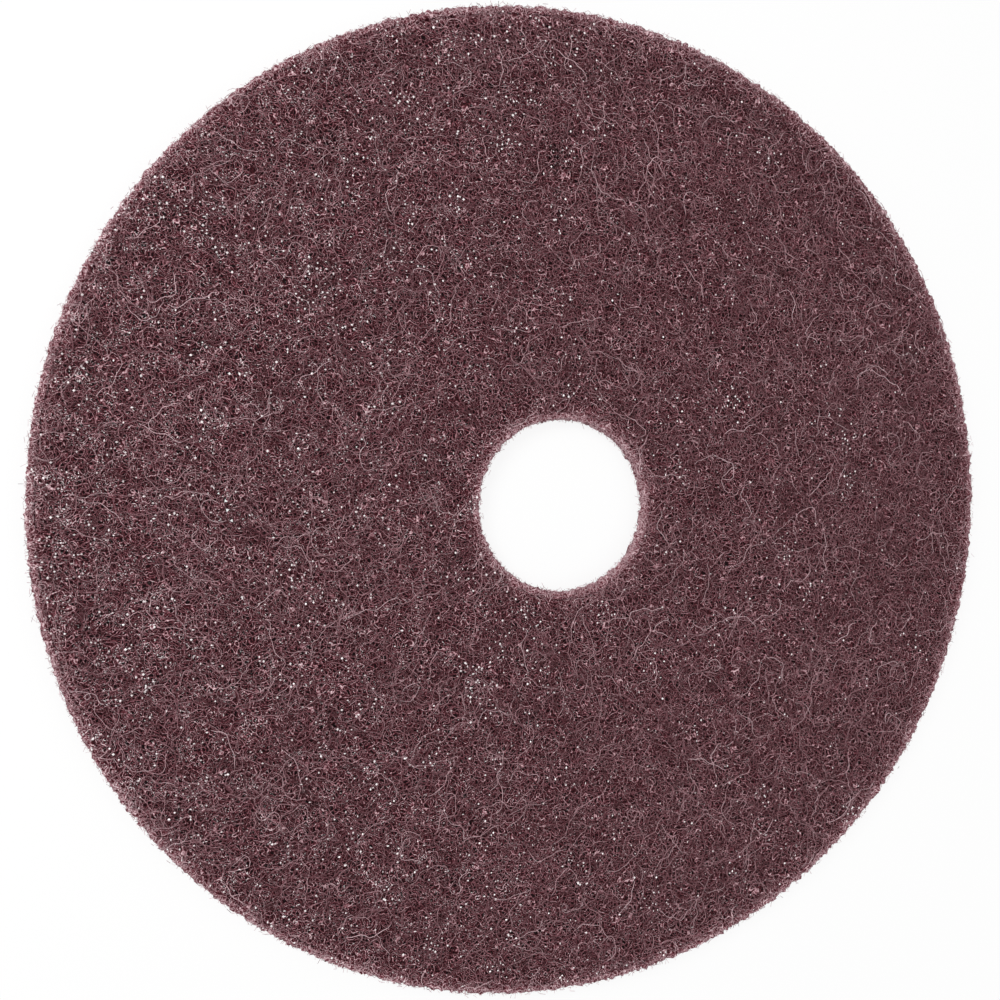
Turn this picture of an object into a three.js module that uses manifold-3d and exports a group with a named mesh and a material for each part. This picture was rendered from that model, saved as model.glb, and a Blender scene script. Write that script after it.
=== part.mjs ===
// A floor pad for a single-disc floor machine: a round, die-cut disc of open nonwoven web, with a
// centre hole that clears the lock of the machine's pad driver. It is one piece of crimped fibres,
// bonded by an abrasive resin all through, and both faces work. The pad lies flat, its axis is +Z,
// and the origin is the middle of its lower face, where the hole's axis meets the floor.
import * as THREE from "three";
import { mergeVertices } from "three/addons/utils/BufferGeometryUtils.js";
import Module from "manifold-3d";

// Driving dimensions, in millimetres.
const padDiameter = 508;
const holeDiameter = 88;
const padThickness = 10;

// The cut edges of the web: the knife pulls them a little round, and fibre ends stand out of them.
const outerEdgeRound = 2.4;
const holeEdgeRound = 1.8;
const outerTuftLength = 1.2;
const holeTuftLength = 0.8;
const outerTuftPitch = 6;
const holeTuftPitch = 4.8;

// The matted faces: crossing strands touch one plane, and pores lie open between them.
const strandPitch = 12.4;
const strandWander = 0.24;
const poreShare = 0.47;
const shallowPore = 0.5;
const deepPore = 1.5;

// Thin spots, where a few gaps side by side are open right through and light shows.
const spotCount = 22;
const spotSpacing = 48;
const spotRadius = 7;
const spotEdgeMargin = 16;
const gapsPerSpot = 5;
const gapSpacing = 4.2;
const gapRadius = 1.3;
const gapSides = 3;
const gapLeast = 0.75;
const gapMost = 1.25;
const gapLean = 0.1;
const cutOverrun = 2;
const triesPerPlace = 60;

const edgeRows = 4;
const seeds = { upper: 11, lower: 23, rim: 37, hole: 41, spots: 59, gaps: 71 };
const outerRadius = padDiameter / 2;
const holeRadius = holeDiameter / 2;
const fullTurn = Math.PI * 2;

// A seeded source of random numbers from 0 to 1, so that the web is the same each time.
function randomSource(seed) {
  let state = seed;
  return () => {
    state = (state + 0x6d2b79f5) | 0;
    let mixed = Math.imul(state ^ (state >>> 15), 1 | state);
    mixed = (mixed + Math.imul(mixed ^ (mixed >>> 7), 61 | mixed)) ^ mixed;
    return ((mixed ^ (mixed >>> 14)) >>> 0) / 4294967296;
  };
}

const between = (random, low, high) => low + (high - low) * random();

// One ring of points about the axis. place gives each point's own radius and height.
function makeRing(radius, pitch, random, place) {
  const count = Math.round((fullTurn * radius) / pitch);
  const turn = random();
  return Array.from({ length: count }, (_, index) => {
    const { r, z, slip } = place();
    const angle = ((index + turn + slip) / count) * fullTurn;
    return { angle, point: new THREE.Vector3(r * Math.cos(angle), r * Math.sin(angle), z) };
  });
}

// The rings of one face, from the hole's edge out to the rim. A strand lies in the face's plane,
// and a pore goes down from it, towards the middle of the web.
function faceRings(planeHeight, inward, seed) {
  const random = randomSource(seed);
  const first = holeRadius + holeEdgeRound;
  const last = outerRadius - outerEdgeRound;
  const bands = Math.round((last - first) / (strandPitch * Math.sin(Math.PI / 3)));
  const step = (last - first) / bands;
  const rings = [];
  for (let band = 1; band < bands; band += 1) {
    const radius = first + band * step;
    rings.push(
      makeRing(radius, strandPitch, random, () => {
        const isPore = random() < poreShare;
        const depth = isPore ? between(random, shallowPore, deepPore) : 0;
        return {
          r: radius + between(random, -strandWander, strandWander) * step,
          z: planeHeight + inward * depth,
          slip: between(random, -strandWander, strandWander),
        };
      }),
    );
  }
  return rings;
}

// The rings of a cut edge, from the upper face down to the lower one. outward is 1 at the rim and
// -1 in the hole, round is the edge's rounding, and each point is pulled out or in by its tuft.
function edgeRings(radius, outward, round, tuftLength, tuftPitch, seed) {
  const random = randomSource(seed);
  const section = new THREE.Path();
  section.absarc(0, padThickness - round, round, Math.PI / 2, 0, true);
  section.absarc(0, round, round, 0, -Math.PI / 2, true);
  const rows = section.getSpacedPoints(edgeRows);
  return rows.map(({ x, y }, row) => {
    const isFlush = row === 0 || row === rows.length - 1;
    const tuft = isFlush ? tuftLength / 2 : tuftLength;
    const base = radius - outward * (round - x);
    return makeRing(base, tuftPitch, random, () => ({
      r: base + between(random, -tuft, tuft),
      z: y,
      slip: between(random, -strandWander, strandWander),
    }));
  });
}

// A closed skin over rings that follow one another round the web's section. Neighbouring rings may
// differ in their number of points: the nearer next point is taken each time.
function skinRings(rings) {
  const positions = [];
  const starts = [];
  for (const ring of rings) {
    starts.push(positions.length / 3);
    ring.forEach(({ point }) => positions.push(point.x, point.y, point.z));
  }
  const triangles = [];
  rings.forEach((ring, index) => {
    const other = (index + 1) % rings.length;
    stitch(ring, starts[index], rings[other], starts[other], triangles);
  });
  const geometry = new THREE.BufferGeometry();
  geometry.setAttribute("position", new THREE.Float32BufferAttribute(positions, 3));
  geometry.setIndex(triangles);
  return geometry;
}

function stitch(ringA, startA, ringB, startB, triangles) {
  const nearest = nearestIndex(ringB, ringA[0].angle);
  const angleAt = (ring, step) =>
    ring[step % ring.length].angle + Math.floor(step / ring.length) * fullTurn;
  const baseB = angleAt(ringB, nearest);
  const shift = Math.round((ringA[0].angle - baseB) / fullTurn) * fullTurn;
  let a = 0;
  let b = 0;
  while (a < ringA.length || b < ringB.length) {
    const nextA = angleAt(ringA, a + 1);
    const nextB = angleAt(ringB, nearest + b + 1) + shift;
    const hereA = startA + (a % ringA.length);
    const hereB = startB + ((nearest + b) % ringB.length);
    const takeA = b === ringB.length || (a < ringA.length && nextA <= nextB);
    if (takeA) {
      triangles.push(hereA, hereB, startA + ((a + 1) % ringA.length));
      a += 1;
    } else {
      triangles.push(hereA, hereB, startB + ((nearest + b + 1) % ringB.length));
      b += 1;
    }
  }
}

function nearestIndex(ring, angle) {
  let best = 0;
  let bestGap = Infinity;
  ring.forEach((item, index) => {
    const gap = Math.abs(Math.atan2(Math.sin(item.angle - angle), Math.cos(item.angle - angle)));
    if (gap < bestGap) {
      best = index;
      bestGap = gap;
    }
  });
  return best;
}

// The web before its gaps are opened: out over the upper face, down the rim, back in under the
// lower face and up through the hole.
function webSkin() {
  const upper = faceRings(padThickness, -1, seeds.upper);
  const lower = faceRings(0, 1, seeds.lower);
  const rim = edgeRings(outerRadius, 1, outerEdgeRound, outerTuftLength, outerTuftPitch, seeds.rim);
  const hole = edgeRings(holeRadius, -1, holeEdgeRound, holeTuftLength, holeTuftPitch, seeds.hole);
  return skinRings([...upper, ...rim, ...lower.reverse(), ...hole.reverse()]);
}

// Up to count scattered points between two radii about a centre, none nearer to another than spacing.
function scatter(random, count, centre, least, most, spacing) {
  const places = [];
  for (let tries = 0; tries < count * triesPerPlace && places.length < count; tries += 1) {
    const radius = Math.sqrt(between(random, least * least, most * most));
    const angle = between(random, 0, fullTurn);
    const offset = new THREE.Vector2(radius * Math.cos(angle), radius * Math.sin(angle));
    const place = offset.add(centre);
    if (places.every((other) => other.distanceTo(place) > spacing)) {
      places.push(place);
    }
  }
  return places;
}

// Where the gaps go: a few in each thin spot, and the spots clear of both cut edges.
function gapPlaces() {
  const random = randomSource(seeds.spots);
  const least = holeRadius + spotEdgeMargin;
  const most = outerRadius - spotEdgeMargin;
  const middle = new THREE.Vector2(0, 0);
  const spots = scatter(random, spotCount, middle, least, most, spotSpacing);
  return spots.flatMap((spot) => scatter(random, gapsPerSpot, spot, 0, spotRadius, gapSpacing));
}

// One gap's cutter: a slightly leaning prism that passes both faces, with a side for each of the
// strands that cross around the gap.
function gapCutter(place, random) {
  const length = padThickness + 2 * cutOverrun;
  const cutter = new THREE.CylinderGeometry(gapRadius, gapRadius, length, gapSides);
  cutter.rotateX(Math.PI / 2);
  cutter.scale(between(random, gapLeast, gapMost), between(random, gapLeast, gapMost), 1);
  cutter.rotateZ(between(random, 0, fullTurn));
  cutter.rotateX(between(random, -gapLean, gapLean));
  cutter.translate(place.x, place.y, padThickness / 2);
  return cutter;
}

const wasm = await Module();
wasm.setup();

// A three.js geometry as a manifold-3d solid, with its shared vertices merged.
function toSolid(geometry) {
  const bare = geometry.clone();
  bare.deleteAttribute("normal");
  bare.deleteAttribute("uv");
  const merged = mergeVertices(bare, 1e-4);
  return new wasm.Manifold(
    new wasm.Mesh({
      numProp: 3,
      vertProperties: new Float32Array(merged.attributes.position.array),
      triVerts: new Uint32Array(merged.index.array),
    }),
  );
}

function toGeometry(solid) {
  const { vertProperties, triVerts } = solid.getMesh();
  const geometry = new THREE.BufferGeometry();
  geometry.setAttribute("position", new THREE.BufferAttribute(vertProperties, 3));
  geometry.setIndex(new THREE.BufferAttribute(triVerts, 1));
  geometry.computeVertexNormals();
  return geometry;
}

// The web with its gaps opened right through.
function openWeb() {
  const random = randomSource(seeds.gaps);
  const cutters = gapPlaces().map((place) => toSolid(gapCutter(place, random)));
  return toSolid(webSkin()).subtract(wasm.Manifold.union(cutters));
}

const webMaterial = new THREE.MeshStandardMaterial({
  name: "resin bonded maroon web",
  color: 0x6a484e,
  roughness: 0.82,
  metalness: 0,
});

const web = new THREE.Mesh(toGeometry(openWeb()), webMaterial);
web.name = "nonwoven_web";

const floorPad = new THREE.Group();
floorPad.add(web);

export default floorPad;
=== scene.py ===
# A floor pad of open nonwoven web, lying flat on a pale studio floor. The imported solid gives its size.
# The looks are a matted core, the crimped strands that lie over and under each other on both faces and
# stand out of both cut edges, and the beads of resin and grit that are stuck to them.
import math

import bpy
import numpy as np
from mathutils import Matrix, Vector


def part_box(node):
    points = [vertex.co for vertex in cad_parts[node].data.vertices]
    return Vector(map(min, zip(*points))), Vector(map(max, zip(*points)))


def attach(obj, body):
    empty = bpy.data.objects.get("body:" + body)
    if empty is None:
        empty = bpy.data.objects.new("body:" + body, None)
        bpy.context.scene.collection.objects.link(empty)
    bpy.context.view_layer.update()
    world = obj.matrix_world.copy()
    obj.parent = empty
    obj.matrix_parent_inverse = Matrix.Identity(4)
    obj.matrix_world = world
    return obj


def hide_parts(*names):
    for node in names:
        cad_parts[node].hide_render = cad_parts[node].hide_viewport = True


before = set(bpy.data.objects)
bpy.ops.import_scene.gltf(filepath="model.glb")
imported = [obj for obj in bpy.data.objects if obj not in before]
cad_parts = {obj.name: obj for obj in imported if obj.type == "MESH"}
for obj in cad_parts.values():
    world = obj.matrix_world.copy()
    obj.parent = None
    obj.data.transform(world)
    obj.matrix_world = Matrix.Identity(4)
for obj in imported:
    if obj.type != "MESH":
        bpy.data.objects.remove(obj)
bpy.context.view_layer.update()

bl_info = {
    "name": "Nonwoven floor pad",
    "version": (1, 0, 0),
    "blender": (4, 5, 0),
    "location": "View3D > Sidebar > Floor pad",
    "description": "Builds a floor pad of open nonwoven web around its packed solid",
    "category": "Mesh",
}

WEB_NODE = "nonwoven_web"
WEB_HIGH = Vector(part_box(WEB_NODE)[1])
MM = 0.001
FULL_TURN = 2 * math.pi

# Each group of random draws has its own seed, so that the pad is the same each time.
SEEDS = {"gaps": 5, "faces": 20, "edges": 31, "beads": 47}

# The core laps into the frayed rings at the cut edges, and its lowest lumps stay clear of the floor.
CORE_LAP = 1 * MM
FLOOR_CLEAR = 0.1 * MM

# The web's loft: each pair is a lump's size, and how far apart its crests and hollows are.
CORE_LOFT = ((7.0 * MM, 1.6 * MM), (2.8 * MM, 1.5 * MM))
FRAYED_LOFT = ((3.2 * MM, 2.4 * MM), (1.5 * MM, 2.2 * MM))

# Gaps stay GAP_MARGIN from both cut edges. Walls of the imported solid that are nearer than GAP_REACH
# belong to one gap. A few smaller gaps are tried beside each, about GAP_SPREAD away, and kept where
# no other gap is nearer than GAP_SPACING times a gap's radius.
GAP_MARGIN = 8 * MM
GAP_REACH = 2 * MM
GAP_SPREAD = 3 * MM
GAP_SPACING = 2.2
GAPS_BESIDE = 3

# Painted light: the strands are drawn paler within this width of a cut edge, more so the nearer they are to
# it, for the light that comes through the thin, translucent web there.
EDGE_LIGHT_WIDTH = 11 * MM
EDGE_LIGHT_POWER = 1.6

# A strand keeps its bend over about this length, and the curled edge strands reach this far in.
BEND_LENGTH = 6 * MM
EDGE_DEPTH = 6 * MM

# The beads: how many clusters, the beads in them and how far those spread, and the beads elsewhere. They
# are resin and grit, and near-white so that they also paint glints.
BEAD_CLUSTERS = 150
CLUSTER_BEADS = 1700
CLUSTER_SPREAD = 4.5 * MM
SINGLE_BEADS = 1900


def srgb(hex_colour):
    """A #rrggbb colour as the linear colour that the shaders use, with full alpha."""
    parts = [int(hex_colour[i : i + 2], 16) / 255 for i in (1, 3, 5)]
    linear = [p / 12.92 if p <= 0.04045 else ((p + 0.055) / 1.055) ** 2.4 for p in parts]
    return (*linear, 1.0)


def size(label, text, value):
    """A length in metres that a user can change."""
    return bpy.props.FloatProperty(
        name=label, description=text, default=value, min=0.0, unit="LENGTH", precision=5
    )


def colour(label, text, hex_colour):
    """A colour that a user can change."""
    return bpy.props.FloatVectorProperty(
        name=label, description=text, default=srgb(hex_colour), size=4, min=0.0, max=1.0, subtype="COLOR"
    )


class WebSizes(bpy.types.PropertyGroup):
    rim_radius: size("Rim radius", "Radius of the cut rim, from the packed solid", WEB_HIGH.x)
    hole_radius: size("Hole radius", "Radius of the cut centre hole", 44 * MM)
    thickness: size("Thickness", "Height of the web, from the packed solid", WEB_HIGH.z)
    core_depth: size("Core depth", "How far the matted core lies under each face", 1.4 * MM)
    core_facet: size("Core facets", "Edge length of the core's facets", 2.8 * MM)
    edge_width: size("Edge width", "How far in from each cut edge the frayed web reaches", 5 * MM)
    edge_facet: size("Edge facets", "Edge length of the frayed web's facets", 1.1 * MM)
    edge_inset: size("Edge inset", "How far inside each cut edge the frayed web's ring ends", 1.2 * MM)
    strand_radius: size("Strand radius", "Radius of a strand with its resin", 0.14 * MM)
    fuzz: size("Fuzz", "How far strand ends stand out of a cut edge, as a typical value", 0.7 * MM)
    bead_radius: size("Bead radius", "Radius of a bead of resin and grit", 0.58 * MM)
    gap_radius: size("Gap radius", "Radius of a gap that is open right through", 1.3 * MM)


class WebColours(bpy.types.PropertyGroup):
    # Painted shade: Gap is the near-black drawn in the depth between the strands, and Wine, a darker strand
    # colour, is also what the deepest strands are drawn in.
    gap: colour("Gap", "The dark depth between the strands", "#100204")
    wine: colour("Wine", "A strand wet with dark resin", "#46191f")
    maroon: colour("Maroon", "A plain strand", "#814d56")
    # Painted light at the cut edges draws the strands towards Dusty and Pale.
    dusty: colour("Dusty", "A strand with dusty grit on it", "#b48d93")
    pale: colour("Pale", "The palest strands, dry and dusty", "#dcbec3")
    # Bead is near-white, for the beads and the painted glints alike.
    bead: colour("Bead", "A bead of resin and grit", "#fdf4f5")


class StageSizes(bpy.types.PropertyGroup):
    view_tilt: bpy.props.FloatProperty(
        name="View tilt", description="Lean of the view from straight down",
        default=math.radians(15.06), subtype="ANGLE",
    )
    view_heading: bpy.props.FloatProperty(
        name="View heading", description="Direction that the view leans to",
        default=math.radians(-5.31), subtype="ANGLE",
    )
    view_distance: size("View distance", "From the lens to the face, along the view", 471.3 * MM)
    view_offset: bpy.props.FloatVectorProperty(
        name="View offset", description="Where the pad's middle lies from the view's middle",
        default=(33.4 * MM, -3.0 * MM), size=2, unit="LENGTH", precision=5,
    )
    lens: bpy.props.FloatProperty(name="Lens", description="Focal length on a 36 mm sensor", default=32.84)


# Material work. One function adds a node with its settings and links.


def add(tree, kind, settings=None, inputs=None):
    """A new node of that kind. An input is a value, or another node's output socket to link."""
    node = tree.nodes.new(kind)
    for key, value in (settings or {}).items():
        setattr(node, key, value)
    for key, value in (inputs or {}).items():
        if isinstance(value, bpy.types.NodeSocket):
            tree.links.new(value, node.inputs[key])
        else:
            node.inputs[key].default_value = value
    return node


def new_material(name):
    material = bpy.data.materials.new(name)
    material.use_nodes = True
    material.node_tree.nodes.clear()
    return material, material.node_tree


def set_ramp(node, stops):
    """Sets a colour ramp's stops from (place, colour) pairs."""
    ramp = node.color_ramp
    while len(ramp.elements) < len(stops):
        ramp.elements.new(1.0)
    for element, (place, shade) in zip(ramp.elements, stops):
        element.position = place
        element.color = shade


def millimetres(tree):
    """Object coordinates counted in millimetres, so that a noise scale is one over a real size."""
    place = add(tree, "ShaderNodeTexCoord").outputs["Object"]
    return add(
        tree, "ShaderNodeMapping", inputs={"Vector": place, "Scale": (1 / MM, 1 / MM, 1 / MM)}
    ).outputs[0]


def calculate(tree, operation, *values, clamp=False):
    """The result of one calculation on values, or on other nodes' output sockets."""
    settings = {"operation": operation, "use_clamp": clamp}
    return add(tree, "ShaderNodeMath", settings, dict(enumerate(values))).outputs[0]


def rise(tree, value, low, high):
    """0 where a value is at low, up to 1 where it is at high."""
    return add(
        tree, "ShaderNodeMapRange", inputs={"Value": value, "From Min": low, "From Max": high}
    ).outputs[0]


def noise(tree, place, lump, detail, roughness=0.5):
    """Random lumps of that size in millimetres, as a value from 0 to 1."""
    return add(
        tree, "ShaderNodeTexNoise",
        inputs={"Vector": place, "Scale": 1 / lump, "Detail": detail, "Roughness": roughness},
    ).outputs["Fac"]


def seen_rays(tree):
    """1 for rays from the camera, also by way of gloss or glass, and 0 for those that only light."""
    rays = add(tree, "ShaderNodeLightPath").outputs
    seen = calculate(tree, "MAXIMUM", rays["Is Camera Ray"], rays["Is Glossy Ray"])
    return calculate(tree, "MAXIMUM", seen, rays["Is Transmission Ray"])


# The wave texture turns by WAVE_RATE radians in one unit. The drawn strands wander by DRAWN_WANDER
# radians of that turn, in curls of about DRAWN_CURL millimetres.
WAVE_RATE = 20
DRAWN_WANDER = 12.0
DRAWN_CURL = 6


def strand_lines(tree, place, turn, spacing, width):
    """Long curling lines such as matted strands make.

    Gives two values: 1 along each strand's crest down to 0 at its sides, and 0 at a strand up to 1
    where its shade ends beside it.
    """
    moved = add(tree, "ShaderNodeMapping", inputs={"Vector": place, "Rotation": turn}).outputs[0]
    away = add(
        tree, "ShaderNodeTexWave", {"wave_type": "BANDS", "bands_direction": "X", "wave_profile": "TRI"},
        {
            "Vector": moved, "Scale": FULL_TURN / WAVE_RATE / spacing, "Distortion": DRAWN_WANDER,
            "Detail": 1.0, "Detail Scale": WAVE_RATE * spacing / FULL_TURN / DRAWN_CURL,
            "Detail Roughness": 0.45, "Phase Offset": spacing,
        },
    ).outputs["Fac"]
    crest = add(
        tree, "ShaderNodeMapRange", {"interpolation_type": "SMOOTHSTEP"},
        {"Value": away, "From Min": 0.0, "From Max": 2 * width / spacing, "To Min": 1.0, "To Max": 0.0},
    ).outputs[0]
    return crest, rise(tree, away, 0.0, 3.5 * width / spacing)


def painted_edge_light(tree, place, sizes):
    """0 inside the web, up to 1 at either cut edge, where the strands are loose: painted light, which draws
    them paler for the light that comes through the thin, translucent web there.
    """
    flat = add(
        tree, "ShaderNodeVectorMath", {"operation": "MULTIPLY"}, {0: place, 1: (MM, MM, 0)}
    ).outputs[0]
    radius = add(tree, "ShaderNodeVectorMath", {"operation": "LENGTH"}, {0: flat}).outputs["Value"]
    at_rim = rise(tree, radius, sizes.rim_radius - EDGE_LIGHT_WIDTH, sizes.rim_radius)
    at_hole = rise(tree, radius, sizes.hole_radius + EDGE_LIGHT_WIDTH, sizes.hole_radius)
    return calculate(tree, "POWER", calculate(tree, "MAXIMUM", at_rim, at_hole), EDGE_LIGHT_POWER)


# The core's drawn strands, from the deepest layer to the uppermost: which way they run, how far apart they
# lie and how thick they are in millimetres, and how pale they are, the deeper the darker, as painted shade
# of the depth.
DRAWN_STRANDS = (
    ((0.3, 0.2, 2.9), 1.8, 0.44, 0.4),
    ((-0.2, 0.3, 1.3), 2.0, 0.44, 0.48),
    ((0.2, -0.3, 2.2), 2.3, 0.4, 0.58),
    ((-0.3, -0.2, 0.4), 2.7, 0.36, 0.68),
    ((0.25, 0.3, 1.8), 3.3, 0.34, 0.76),
)


def matted_web_material(colours, sizes):
    # Nylon web soaked in an abrasive maroon resin, seen between the top strands: a tangle of 0.4 mm strands
    # in five depths, drawn as coarse as they show, with no gloss in the depth. Shade is painted into its
    # colour: darker for the deeper strands and each strand's sides, a shadow beside each strand on those
    # under it, and near-black gaps. So is light: paler towards the cut edges, and near-white glints.
    material, tree = new_material("resin_bonded_nylon_web")
    place = millimetres(tree)
    height = None
    for turn, spacing, width, pale in DRAWN_STRANDS:
        crest, clear = strand_lines(tree, place, turn, spacing, width)
        line = calculate(tree, "MULTIPLY", crest, pale)
        # Painted shadow: beside each strand, the layers under it are drawn darker.
        if height is not None:
            under = calculate(tree, "MULTIPLY", height, clear)
            line = calculate(tree, "MAXIMUM", under, line)
        height = line
    patches = noise(tree, place, 9, 4.0, 0.65)
    grit = noise(tree, place, 0.7, 2.0, 0.6)
    uneven = calculate(tree, "MULTIPLY_ADD", patches, 0.9, -0.75)
    speckle = calculate(tree, "MULTIPLY_ADD", grit, 2.8, uneven)
    # Painted light: the web is drawn paler towards the cut edges.
    edge_lit = calculate(tree, "MULTIPLY_ADD", painted_edge_light(tree, place, sizes), 0.45, height)
    # Painted shade: low in the tangle, and where the speckle is low, the ramp falls through wine to the
    # near-black gap.
    ramp = add(
        tree, "ShaderNodeValToRGB", inputs={"Fac": calculate(tree, "MULTIPLY", edge_lit, speckle, clamp=True)}
    )
    set_ramp(
        ramp,
        [
            (0.03, tuple(colours.gap)), (0.28, tuple(colours.wine)), (0.5, tuple(colours.maroon)),
            (0.75, tuple(colours.dusty)), (1.0, tuple(colours.pale)),
        ],
    )
    # Painted glints: near-white specks, in clusters, and more of them on the -X side towards the key lamp.
    across = add(tree, "ShaderNodeSeparateXYZ", inputs={0: place}).outputs["X"]
    glint_chance = calculate(tree, "MULTIPLY_ADD", across, -0.00016, grit)
    painted_glint = calculate(
        tree, "MULTIPLY", rise(tree, glint_chance, 0.65, 0.68), rise(tree, patches, 0.46, 0.6)
    )
    with_painted_glints = add(
        tree, "ShaderNodeMix", {"data_type": "RGBA"},
        {0: painted_glint, 6: ramp.outputs["Color"], 7: tuple(colours.bead)},
    ).outputs[2]
    bump = add(
        tree, "ShaderNodeBump", inputs={"Height": height, "Strength": 1.0, "Distance": 0.35 * MM}
    ).outputs["Normal"]
    shader = add(
        tree, "ShaderNodeBsdfPrincipled",
        inputs={"Base Color": with_painted_glints, "Roughness": 0.75, "Specular IOR Level": 0.08, "Normal": bump},
    )
    add(tree, "ShaderNodeOutputMaterial", inputs={"Surface": shader.outputs[0]})
    return material


def strand_material(colours, sizes):
    # Crimped nylon strands in hardened abrasive resin: a dull dusty maroon that varies from strand to
    # strand and along each one, with a slightly glossy skin that glints where it faces a lamp. Their colour
    # also holds painted shade, darker in the deeper layers, and painted light, paler near a cut edge.
    material, tree = new_material("resin_coated_nylon_strand")
    place = millimetres(tree)
    tone = add(tree, "ShaderNodeAttribute", {"attribute_name": "tone"}).outputs["Fac"]
    uneven = calculate(tree, "MULTIPLY_ADD", noise(tree, place, 2.2, 3.0, 0.6), 0.9, -0.45)
    shade = calculate(tree, "ADD", tone, uneven)
    # Painted light: the strands are drawn paler towards the cut edges.
    shade = calculate(tree, "MULTIPLY_ADD", painted_edge_light(tree, place, sizes), 0.4, shade, clamp=True)
    ramp = add(tree, "ShaderNodeValToRGB", inputs={"Fac": shade})
    set_ramp(
        ramp,
        [
            (0.0, tuple(colours.wine)), (0.33, tuple(colours.maroon)),
            (0.67, tuple(colours.dusty)), (1.0, tuple(colours.pale)),
        ],
    )
    bump = add(
        tree, "ShaderNodeBump",
        inputs={"Height": noise(tree, place, 0.35, 2.0), "Strength": 0.6, "Distance": 0.1 * MM},
    ).outputs["Normal"]
    shader = add(
        tree, "ShaderNodeBsdfPrincipled",
        inputs={
            "Base Color": ramp.outputs["Color"], "Roughness": 0.5, "Specular IOR Level": 0.3,
            "Coat Weight": 0.15, "Coat Roughness": 0.2, "Normal": bump,
        },
    )
    add(tree, "ShaderNodeOutputMaterial", inputs={"Surface": shader.outputs[0]})
    return material


def bead_material(colours):
    # Hard resin with grit of fused mineral in it: sharp and glossy, so that it glints, and near-white, so
    # that each bead also shows as a painted glint from any side.
    material, tree = new_material("resin_and_mineral_bead")
    shader = add(
        tree, "ShaderNodeBsdfPrincipled",
        inputs={
            "Base Color": tuple(colours.bead), "Roughness": 0.22, "Coat Weight": 0.6, "Coat Roughness": 0.1,
        },
    )
    add(tree, "ShaderNodeOutputMaterial", inputs={"Surface": shader.outputs[0]})
    return material


# Piece work.


def deselect_all():
    if bpy.context.object and bpy.context.object.mode != "OBJECT":
        bpy.ops.object.mode_set(mode="OBJECT")
    bpy.ops.object.select_all(action="DESELECT")


def finish_piece(piece, material):
    """Gives a piece its one material and its place in the frame."""
    piece.data.materials.clear()
    piece.data.materials.append(material)
    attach(piece, "root")


def strand_walks(random, count, steps, step, radii, heights, climb, curl, limits):
    """Random crimped walks, as an array of count walks with steps points each, in metres.

    They start between two radii and two heights and stay between two limits of height. climb is
    their typical slope, and curl how many radians they typically turn in a metre.
    """
    radius = np.sqrt(random.uniform(radii[0] ** 2, radii[1] ** 2, count))
    angle = random.uniform(0, FULL_TURN, count)
    heading = random.uniform(0, FULL_TURN, count)
    bend = np.zeros((count, steps))
    keep = math.exp(-step / BEND_LENGTH)
    spread = curl * math.sqrt(1 - keep**2)
    now = random.normal(0, curl, count)
    for index in range(steps):
        bend[:, index] = now
        now = now * keep + random.normal(0, spread, count)
    crimp_length = random.uniform(7, 13, count) * MM
    crimp_phase = random.uniform(0, FULL_TURN, count)
    along = np.arange(steps) * step
    crimp = 0.35 * np.sin(FULL_TURN * along[None, :] / crimp_length[:, None] + crimp_phase[:, None])
    heading = heading[:, None] + np.cumsum(bend * step, axis=1) + crimp
    x = (radius * np.cos(angle))[:, None] + np.cumsum(np.cos(heading) * step, axis=1)
    y = (radius * np.sin(angle))[:, None] + np.cumsum(np.sin(heading) * step, axis=1)
    base = random.uniform(*heights, count)
    wave = random.uniform(8, 15, count) * MM
    phase = random.uniform(0, FULL_TURN, count)
    lift = random.uniform(0.15, 0.5, count) * MM
    z = base[:, None] + lift[:, None] * np.sin(FULL_TURN * along[None, :] / wave[:, None] + phase[:, None])
    z = z + (random.normal(0, climb, count))[:, None] * along[None, :]
    return np.stack([x, y, np.clip(z, *limits)], axis=2)


def kept_lengths(walks, inner, outer):
    """How many points of each walk come before the cut at its own inner or outer radius."""
    radius = np.hypot(walks[:, :, 0], walks[:, :, 1])
    outside = (radius < inner[:, None]) | (radius > outer[:, None])
    first = np.argmax(outside, axis=1)
    return np.where(outside.any(axis=1), first, walks.shape[1])


def strands_object(name, random, walks, lengths, radius, tones):
    """One mesh of three-sided closed tubes along the walks, with each strand's tone on its points."""
    profile_data = bpy.data.curves.new(name + "_profile", "CURVE")
    profile_data.dimensions = "2D"
    section = profile_data.splines.new("POLY")
    section.points.add(2)
    for index, point in enumerate(section.points):
        turn = FULL_TURN * index / 3
        point.co = (radius * math.cos(turn), radius * math.sin(turn), 0, 1)
    section.use_cyclic_u = True
    profile = bpy.data.objects.new(name + "_profile", profile_data)
    bpy.context.collection.objects.link(profile)

    paths = bpy.data.curves.new(name, "CURVE")
    paths.dimensions = "3D"
    paths.bevel_mode = "OBJECT"
    paths.bevel_object = profile
    kept = [index for index in range(len(walks)) if lengths[index] >= min(3, walks.shape[1])]
    thickness = random.uniform(0.75, 1.3, len(walks))
    for index in kept:
        count = int(lengths[index])
        spline = paths.splines.new("POLY")
        spline.points.add(count - 1)
        points = np.ones((count, 4))
        points[:, :3] = walks[index, :count]
        spline.points.foreach_set("co", points.ravel())
        swell = np.full(count, thickness[index])
        swell[0] = swell[-1] = thickness[index] * 0.55
        spline.points.foreach_set("radius", swell)
    strands = bpy.data.objects.new(name, paths)
    bpy.context.collection.objects.link(strands)
    deselect_all()
    strands.select_set(True)
    bpy.context.view_layer.objects.active = strands
    bpy.ops.object.convert(target="MESH")
    strands = bpy.context.object
    bpy.data.objects.remove(profile)

    bpy.ops.object.mode_set(mode="EDIT")
    bpy.ops.mesh.select_all(action="SELECT")
    bpy.ops.mesh.fill_holes(sides=3)
    bpy.ops.mesh.select_all(action="SELECT")
    bpy.ops.mesh.normals_make_consistent(inside=False)
    bpy.ops.object.mode_set(mode="OBJECT")
    bpy.ops.object.shade_smooth()
    mark_strands(strands.data, [int(lengths[index]) for index in kept], tones[kept])
    return strands


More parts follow.
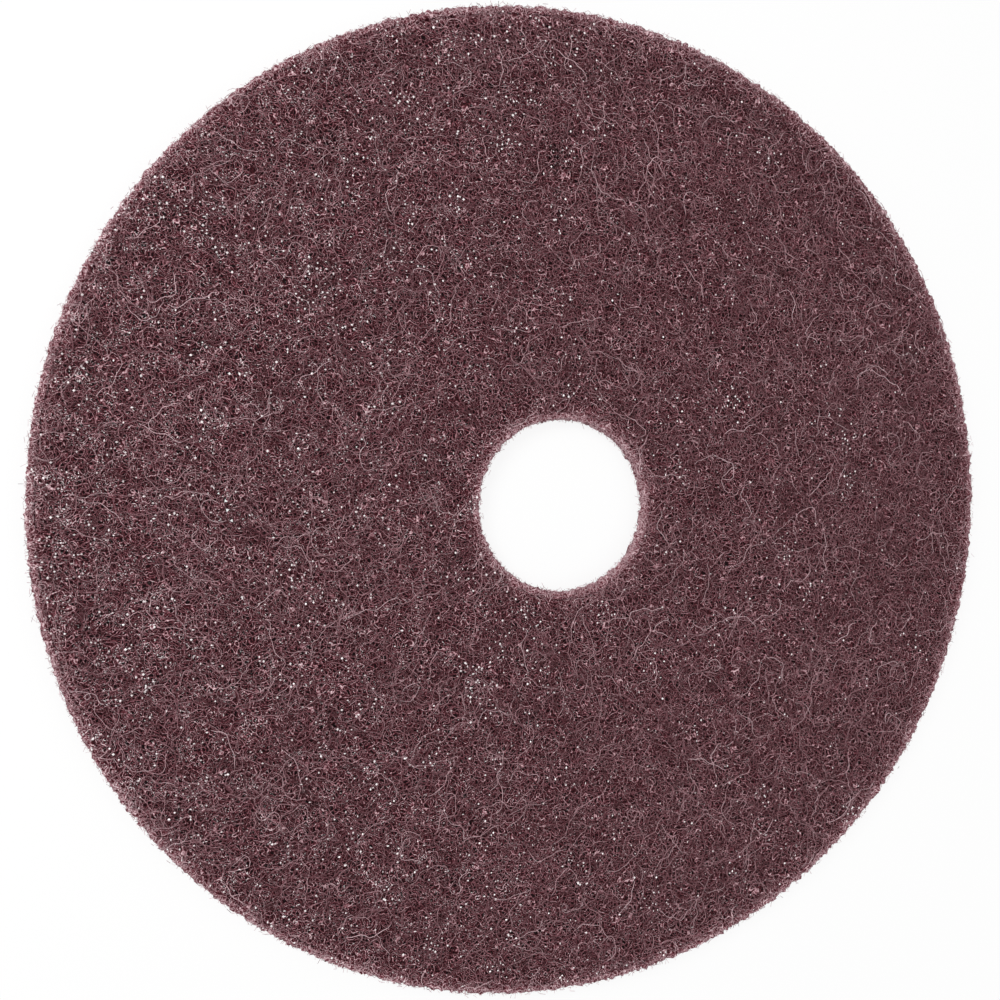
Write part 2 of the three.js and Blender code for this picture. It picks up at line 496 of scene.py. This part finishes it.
def mark_strands(mesh, counts, tones):
    """Writes each strand's tone on its points, and lays the strands side by side in the bake's map."""
    counts = np.array(counts)
    strand_of = np.repeat(np.arange(len(counts)), counts * 3)
    if len(strand_of) != len(mesh.vertices):
        raise RuntimeError(
            f"{mesh.name}: {len(mesh.vertices)} points, where its strands need {len(strand_of)}"
        )
    attribute = mesh.attributes.new("tone", "FLOAT", "POINT")
    attribute.data.foreach_set("value", tones[strand_of].astype(np.float32))

    starts = np.repeat(np.concatenate([[0], np.cumsum(counts * 3)[:-1]]), counts * 3)
    local = np.arange(len(strand_of)) - starts
    ring, side = local // 3, local % 3
    corner = np.empty(len(mesh.loops), dtype=np.int64)
    mesh.loops.foreach_get("vertex_index", corner)
    face_start = np.empty(len(mesh.polygons), dtype=np.int64)
    face_total = np.empty(len(mesh.polygons), dtype=np.int64)
    mesh.polygons.foreach_get("loop_start", face_start)
    mesh.polygons.foreach_get("loop_total", face_total)
    face = np.repeat(np.arange(len(face_start)), face_total)
    has_last = np.zeros(len(face_start), dtype=bool)
    np.logical_or.at(has_last, face, side[corner] == 2)
    has_middle = np.zeros(len(face_start), dtype=bool)
    np.logical_or.at(has_middle, face, side[corner] == 1)
    wraps = has_last & ~has_middle
    around = side[corner] + 3 * (wraps[face] & (side[corner] == 0))
    columns = math.ceil(math.sqrt(len(counts) / 4))
    rows = math.ceil(len(counts) / columns)
    strand = strand_of[corner]
    along = ring[corner] / (counts[strand] - 1)
    u = (strand % columns + 0.04 + 0.92 * along) / columns
    v = (strand // columns + 0.1 + 0.8 * around / 3) / rows
    uv = mesh.uv_layers.new(name="OFBake")
    uv.data.foreach_set("uv", np.stack([u, v], axis=1).ravel().astype(np.float32))


def ring_of_web(name, inner, outer, depth, thickness, facet, lumps):
    """A ring-shaped slab of web with an even skin and the lumps and hollows of its loft.

    Each lump is a pair: its size, and how far apart its crests and hollows are.
    """
    deselect_all()
    bpy.ops.mesh.primitive_cylinder_add(
        vertices=256, radius=outer, depth=thickness - 2 * depth, location=(0, 0, thickness / 2),
        end_fill_type="NGON",
    )
    ring = bpy.context.object
    ring.name = ring.data.name = name
    bpy.ops.object.transform_apply(location=True, rotation=True, scale=True)

    # The two round ends are inset to the hole's width, and the hole is bridged through.
    bpy.ops.object.mode_set(mode="EDIT")
    bpy.ops.mesh.select_mode(type="FACE")
    bpy.ops.mesh.select_all(action="DESELECT")
    bpy.ops.object.mode_set(mode="OBJECT")
    for face in ring.data.polygons:
        face.select = abs(face.normal.z) > 0.9
    bpy.ops.object.mode_set(mode="EDIT")
    bpy.ops.mesh.inset(thickness=outer - inner, use_individual=True)
    bpy.ops.mesh.bridge_edge_loops()
    bpy.ops.object.mode_set(mode="OBJECT")

    remesh = ring.modifiers.new("Even skin", "REMESH")
    remesh.mode = "VOXEL"
    remesh.voxel_size = facet
    bpy.ops.object.modifier_apply(modifier=remesh.name)
    for lump, strength in lumps:
        cloud = bpy.data.textures.new(name, "CLOUDS")
        cloud.noise_scale = lump
        cloud.noise_depth = 1
        displace = ring.modifiers.new("Loft", "DISPLACE")
        displace.texture = cloud
        displace.texture_coords = "LOCAL"
        displace.strength = strength
        displace.mid_level = 0.5
        bpy.ops.object.modifier_apply(modifier=displace.name)

    # The lowest lumps are flat, just clear of what the pad lies on.
    for vertex in ring.data.vertices:
        vertex.co.z = max(vertex.co.z, FLOOR_CLEAR)
    bpy.ops.object.shade_smooth()
    return ring


def web_gaps(sizes):
    """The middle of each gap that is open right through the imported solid, as rows of x and y."""
    mesh = bpy.data.objects[WEB_NODE].data
    count = len(mesh.polygons)
    normals, centres = np.empty(count * 3), np.empty(count * 3)
    mesh.polygons.foreach_get("normal", normals)
    mesh.polygons.foreach_get("center", centres)
    normals, centres = normals.reshape(-1, 3), centres.reshape(-1, 3)
    radius = np.hypot(centres[:, 0], centres[:, 1])
    inside = (radius > sizes.hole_radius + GAP_MARGIN) & (radius < sizes.rim_radius - GAP_MARGIN)
    gaps = []
    for point in centres[(np.abs(normals[:, 2]) < 0.5) & inside][:, :2]:
        near = [gap for gap in gaps if np.hypot(*(np.mean(gap, axis=0) - point)) < GAP_REACH]
        if near:
            near[0].append(point)
        else:
            gaps.append([point])
    return np.array([np.mean(gap, axis=0) for gap in gaps])


def cut_gaps(web, sizes):
    """Opens the gaps right through the web, with smaller ones beside them, clear of one another."""
    random = np.random.default_rng(SEEDS["gaps"])
    places = list(web_gaps(sizes))
    main_gaps = len(places)
    beside = np.repeat(np.array(places), GAPS_BESIDE, axis=0)
    for place in beside + random.normal(0, GAP_SPREAD, beside.shape):
        if min(np.hypot(*(place - other)) for other in places) > GAP_SPACING * sizes.gap_radius:
            places.append(place)
    corners, faces = [], []
    for index, place in enumerate(places):
        share = random.uniform(0.8, 1.0) if index < main_gaps else random.uniform(0.4, 0.8)
        radius = sizes.gap_radius * share
        start = len(corners)
        turns = [index + FULL_TURN * side / 3 for side in range(3)]
        for height in (-sizes.thickness, 2 * sizes.thickness):
            corners += [
                (place[0] + radius * math.cos(turn), place[1] + radius * math.sin(turn), height)
                for turn in turns
            ]
        faces += [(start + 2, start + 1, start), (start + 3, start + 4, start + 5)]
        for side in range(3):
            after = (side + 1) % 3
            faces.append((start + side, start + after, start + 3 + after, start + 3 + side))
    mesh = bpy.data.meshes.new("gap_cutters")
    mesh.from_pydata(corners, [], faces)
    cutter = bpy.data.objects.new("gap_cutters", mesh)
    bpy.context.collection.objects.link(cutter)
    deselect_all()
    web.select_set(True)
    bpy.context.view_layer.objects.active = web
    open_up = web.modifiers.new("Gaps", "BOOLEAN")
    open_up.operation = "DIFFERENCE"
    open_up.object = cutter
    open_up.solver = "MANIFOLD"
    bpy.ops.object.modifier_apply(modifier=open_up.name)
    bpy.data.objects.remove(cutter)


class FLOORPAD_OT_core(bpy.types.Operator):
    """Adds the matted core of the web and its frayed cut edges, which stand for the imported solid"""

    bl_idname = "floorpad.core"
    bl_label = "Matted core"

    def execute(self, context):
        sizes, colours = context.scene.floorpad_sizes, context.scene.floorpad_colours
        material = matted_web_material(colours, sizes)
        rim, hole, edge = sizes.rim_radius, sizes.hole_radius, sizes.edge_width
        core = ring_of_web(
            "web_core", hole + edge - CORE_LAP, rim - edge + CORE_LAP, sizes.core_depth, sizes.thickness,
            sizes.core_facet, CORE_LOFT,
        )
        cut_gaps(core, sizes)
        finish_piece(core, material)
        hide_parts(WEB_NODE)
        for name, inner, outer in (
            ("rim_web", rim - edge, rim - sizes.edge_inset),
            ("hole_web", hole + sizes.edge_inset, hole + edge),
        ):
            frayed = ring_of_web(
                name, inner, outer, sizes.core_depth * 0.8, sizes.thickness, sizes.edge_facet, FRAYED_LOFT
            )
            finish_piece(frayed, material)
        return {"FINISHED"}


# Each face's strands lie in layers: how deep the layer begins and ends under the face, how many strands it
# has and of how many steps of what length, how pale they are, darker for the deeper layers as painted shade
# of the depth beside the real shadows, and how many radians they curl in a metre.
FACE_LAYERS = {
    "upper_strands_deep": (0.7 * MM, 1.5 * MM, 1900, 16, 2.0 * MM, 0.08, 300),
    "upper_strands_middle": (0.35 * MM, 0.9 * MM, 2150, 14, 2.0 * MM, 0.24, 240),
    "upper_strands_top": (0.1 * MM, 0.4 * MM, 2700, 11, 2.5 * MM, 0.42, 130),
    "lower_strands_inner": (0.6 * MM, 1.3 * MM, 450, 20, 2.0 * MM, 0.35, 240),
    "lower_strands_outer": (0.2 * MM, 0.5 * MM, 450, 18, 2.6 * MM, 0.55, 140),
}


class FLOORPAD_OT_face_strands(bpy.types.Operator):
    """Adds the strands of both faces, layer by layer"""

    bl_idname = "floorpad.face_strands"
    bl_label = "Face strands"

    def execute(self, context):
        sizes = context.scene.floorpad_sizes
        material = strand_material(context.scene.floorpad_colours, sizes)
        random = np.random.default_rng(SEEDS["faces"])
        for name, (near, far, count, steps, step, pale, curl) in FACE_LAYERS.items():
            upper = name.startswith("upper")
            heights = (sizes.thickness - far, sizes.thickness - near) if upper else (near, far)
            walks = strand_walks(
                random, count, steps, step, (sizes.hole_radius, sizes.rim_radius), heights, 0.0, curl,
                (2 * sizes.strand_radius, sizes.thickness + sizes.strand_radius),
            )
            inner = sizes.hole_radius + (0.5 + random.exponential(1.5, count)) * sizes.fuzz
            outer = sizes.rim_radius - (0.5 + random.exponential(1.5, count)) * sizes.fuzz
            lengths = kept_lengths(walks, inner, outer)
            tones = np.clip(random.normal(pale, 0.27, count), 0, 1)
            strands = strands_object(name, random, walks, lengths, sizes.strand_radius, tones)
            finish_piece(strands, material)
        return {"FINISHED"}


class FLOORPAD_OT_edge_strands(bpy.types.Operator):
    """Adds the curled strands and the short cut ends that make the rim and the wall of the hole"""

    bl_idname = "floorpad.edge_strands"
    bl_label = "Edge strands"

    def execute(self, context):
        sizes = context.scene.floorpad_sizes
        material = strand_material(context.scene.floorpad_colours, sizes)
        random = np.random.default_rng(SEEDS["edges"])
        steps, step, climb, curl = 8, 1.3 * MM, 0.35, 380
        heights = (0.4 * MM, sizes.thickness - 0.3 * MM)
        limits = (2 * sizes.strand_radius, sizes.thickness)
        for name, low, high, count in (
            ("rim_strands", sizes.rim_radius - EDGE_DEPTH, sizes.rim_radius - 0.5 * MM, 1700),
            ("hole_strands", sizes.hole_radius + 0.5 * MM, sizes.hole_radius + EDGE_DEPTH, 350),
        ):
            walks = strand_walks(random, count, steps, step, (low, high), heights, climb, curl, limits)
            inner = sizes.hole_radius + random.exponential(1.0, count) * sizes.fuzz
            outer = sizes.rim_radius - random.exponential(1.0, count) * sizes.fuzz
            lengths = kept_lengths(walks, inner, outer)
            tones = np.clip(random.normal(0.5, 0.25, count), 0, 1)
            strands = strands_object(name, random, walks, lengths, sizes.strand_radius, tones)
            finish_piece(strands, material)
        for name, radius, outward, count in (
            ("rim_ends", sizes.rim_radius, 1, 6500), ("hole_ends", sizes.hole_radius, -1, 1300),
        ):
            walks = cut_ends(random, count, radius, outward, sizes)
            tones = random.normal(0.4, 0.4, count)
            ends = strands_object(name, random, walks, np.full(count, 2), sizes.strand_radius * 1.2, tones)
            finish_piece(ends, material)
        return {"FINISHED"}


def cut_ends(random, count, radius, outward, sizes):
    """Short straight strand ends that point out of a cut edge, as two points each."""
    angle = random.uniform(0, FULL_TURN, count)
    length = random.uniform(1.5, 3.2, count) * MM
    tip = np.minimum(random.normal(-1.3, 1.2, count), 1.6) * sizes.fuzz
    tip_radius = radius + outward * tip
    lean = random.normal(0, 0.8, count)
    height = random.uniform(0.5 * MM, sizes.thickness - 0.3 * MM, count)
    slope = random.normal(0, 0.3, count) * length
    ends = np.empty((count, 2, 3))
    ends[:, 1, 0], ends[:, 1, 1] = tip_radius * np.cos(angle), tip_radius * np.sin(angle)
    ends[:, 0, 0] = ends[:, 1, 0] - outward * length * np.cos(angle + lean)
    ends[:, 0, 1] = ends[:, 1, 1] - outward * length * np.sin(angle + lean)
    ends[:, 0, 2] = height
    ends[:, 1, 2] = np.clip(height + slope, 2 * sizes.strand_radius, sizes.thickness)
    return ends


class FLOORPAD_OT_beads(bpy.types.Operator):
    """Adds the beads of resin and grit that are stuck to the strands of both faces"""

    bl_idname = "floorpad.beads"
    bl_label = "Resin beads"

    def execute(self, context):
        sizes = context.scene.floorpad_sizes
        random = np.random.default_rng(SEEDS["beads"])
        corners = np.array([(1, 0, 0), (0, 1, 0), (-1, 0, 0), (0, -1, 0), (0, 0, 1), (0, 0, -1)])
        faces = np.array([
            (0, 1, 4), (1, 2, 4), (2, 3, 4), (3, 0, 4), (1, 0, 5), (2, 1, 5), (3, 2, 5), (0, 3, 5),
        ])
        places = bead_places(random, sizes)
        count = len(places)
        stretch = random.uniform(0.35, 1.3, (count, 1, 3)) * sizes.bead_radius
        points = corners[None, :, :] * stretch + places[:, None, :]
        joined = faces[None, :, :] + (np.arange(count) * len(corners))[:, None, None]
        mesh = bpy.data.meshes.new("resin_beads")
        mesh.from_pydata(points.reshape(-1, 3).tolist(), [], joined.reshape(-1, 3).tolist())
        beads = bpy.data.objects.new("resin_beads", mesh)
        context.collection.objects.link(beads)
        finish_piece(beads, bead_material(context.scene.floorpad_colours))
        return {"FINISHED"}


def bead_places(random, sizes):
    """Where the beads are on both faces: clustered and single, and more of them at the -X side, towards the
    key lamp, where they stand for its glints.
    """
    clusters = scattered(random, BEAD_CLUSTERS, sizes)
    around = clusters[random.integers(0, len(clusters), CLUSTER_BEADS)]
    around = around + random.normal(0, CLUSTER_SPREAD, around.shape)
    flat = np.concatenate([around, scattered(random, SINGLE_BEADS, sizes)])
    radius = np.hypot(flat[:, 0], flat[:, 1])
    flat = flat[(radius > sizes.hole_radius + MM) & (radius < sizes.rim_radius - MM)]
    upper = np.arange(len(flat)) % 5 != 0
    depth = random.uniform(-0.1, 0.7, len(flat)) * MM
    height = np.where(upper, sizes.thickness - depth, depth + 1.5 * sizes.bead_radius)
    return np.column_stack([flat, height])


def scattered(random, count, sizes):
    """Random points of the ring. Their share falls evenly from its -X side to its +X side."""
    radius = np.sqrt(random.uniform(sizes.hole_radius**2, sizes.rim_radius**2, count * 3))
    angle = random.uniform(0, FULL_TURN, count * 3)
    points = np.column_stack([radius * np.cos(angle), radius * np.sin(angle)])
    share = 0.5 - 0.45 * points[:, 0] / sizes.rim_radius
    return points[random.uniform(0, 1, count * 3) < share][:count]


class FLOORPAD_OT_stage(bpy.types.Operator):
    """Adds the pale floor, the soft lamps, the world and the camera"""

    bl_idname = "floorpad.stage"
    bl_label = "Stage"

    def execute(self, context):
        stage, sizes = context.scene.floorpad_stage, context.scene.floorpad_sizes
        deselect_all()
        bpy.ops.mesh.primitive_plane_add(size=6, location=(0, 0, 0))
        floor = context.object
        floor.name = floor.data.name = "studio_floor"
        floor.data.materials.append(floor_material())
        # Each lamp's name, its place and width in metres, and its power in watts.
        lamps = (
            ("key", (-0.95, 0.55, 1.0), 0.7, 13.0),
            ("fill", (0.9, -0.5, 1.3), 1.4, 7.0),
        )
        for name, place, width, power in lamps:
            aim = (Vector((0, 0, 0)) - Vector(place)).to_track_quat("-Z", "Y").to_euler()
            bpy.ops.object.light_add(type="AREA", location=place, rotation=aim)
            lamp = context.object
            lamp.name = lamp.data.name = name
            lamp.data.size = width
            lamp.data.energy = power
        world = bpy.data.worlds.new("soft_studio")
        world.use_nodes = True
        tree = world.node_tree
        tree.nodes.clear()
        soft = add(tree, "ShaderNodeBackground", inputs={"Color": (1, 1, 1, 1), "Strength": 0.55})
        white = add(tree, "ShaderNodeBackground", inputs={"Color": (1, 1, 1, 1), "Strength": 1.0})
        mixed = add(
            tree, "ShaderNodeMixShader",
            inputs={0: seen_rays(tree), 1: soft.outputs[0], 2: white.outputs[0]},
        )
        add(tree, "ShaderNodeOutputWorld", inputs={"Surface": mixed.outputs[0]})
        context.scene.world = world

        # The view leans from straight down, about a line across the pad.
        heading = stage.view_heading
        turn = Matrix.Rotation(-stage.view_tilt, 4, Vector((-math.sin(heading), math.cos(heading), 0)))
        middle = Vector((0, 0, sizes.thickness))
        reach = Vector((stage.view_offset[0], stage.view_offset[1], -stage.view_distance))
        bpy.ops.object.camera_add(location=middle - turn @ reach, rotation=turn.to_euler())
        camera = context.object
        camera.data.lens = stage.lens
        camera.data.sensor_width = 36
        camera.data.clip_start = 0.01
        context.scene.camera = camera
        context.scene.view_settings.view_transform = "Standard"
        return {"FINISHED"}


def floor_material():
    # A matt white sheet. The camera sees it as white with the pad's soft shadow on it.
    material, tree = new_material("white_paper_sheet")
    paper = add(tree, "ShaderNodeBsdfDiffuse", inputs={"Color": (0.9, 0.9, 0.9, 1)})
    white = add(tree, "ShaderNodeEmission", inputs={"Color": (1, 1, 1, 1), "Strength": 1.0})
    share = calculate(tree, "MULTIPLY", seen_rays(tree), 0.85)
    mixed = add(
        tree, "ShaderNodeMixShader", inputs={0: share, 1: paper.outputs[0], 2: white.outputs[0]}
    )
    add(tree, "ShaderNodeOutputMaterial", inputs={"Surface": mixed.outputs[0]})
    return material


class FLOORPAD_PT_panel(bpy.types.Panel):
    """Lists what builds the floor pad"""

    bl_idname = "FLOORPAD_PT_panel"
    bl_label = "Floor pad"
    bl_space_type = "VIEW_3D"
    bl_region_type = "UI"
    bl_category = "Floor pad"

    def draw(self, context):
        for operator in PIECES:
            self.layout.operator(operator.bl_idname)


PIECES = (
    FLOORPAD_OT_core,
    FLOORPAD_OT_face_strands,
    FLOORPAD_OT_edge_strands,
    FLOORPAD_OT_beads,
    FLOORPAD_OT_stage,
)
CLASSES = (WebSizes, WebColours, StageSizes, *PIECES, FLOORPAD_PT_panel)


def register():
    for item in CLASSES:
        bpy.utils.register_class(item)
    bpy.types.Scene.floorpad_sizes = bpy.props.PointerProperty(type=WebSizes)
    bpy.types.Scene.floorpad_colours = bpy.props.PointerProperty(type=WebColours)
    bpy.types.Scene.floorpad_stage = bpy.props.PointerProperty(type=StageSizes)


def unregister():
    del bpy.types.Scene.floorpad_sizes
    del bpy.types.Scene.floorpad_colours
    del bpy.types.Scene.floorpad_stage
    for item in reversed(CLASSES):
        bpy.utils.unregister_class(item)


def main():
    register()
    bpy.ops.floorpad.core()
    bpy.ops.floorpad.face_strands()
    bpy.ops.floorpad.edge_strands()
    bpy.ops.floorpad.beads()
    bpy.ops.floorpad.stage()


if __name__ == "__main__":
    main()
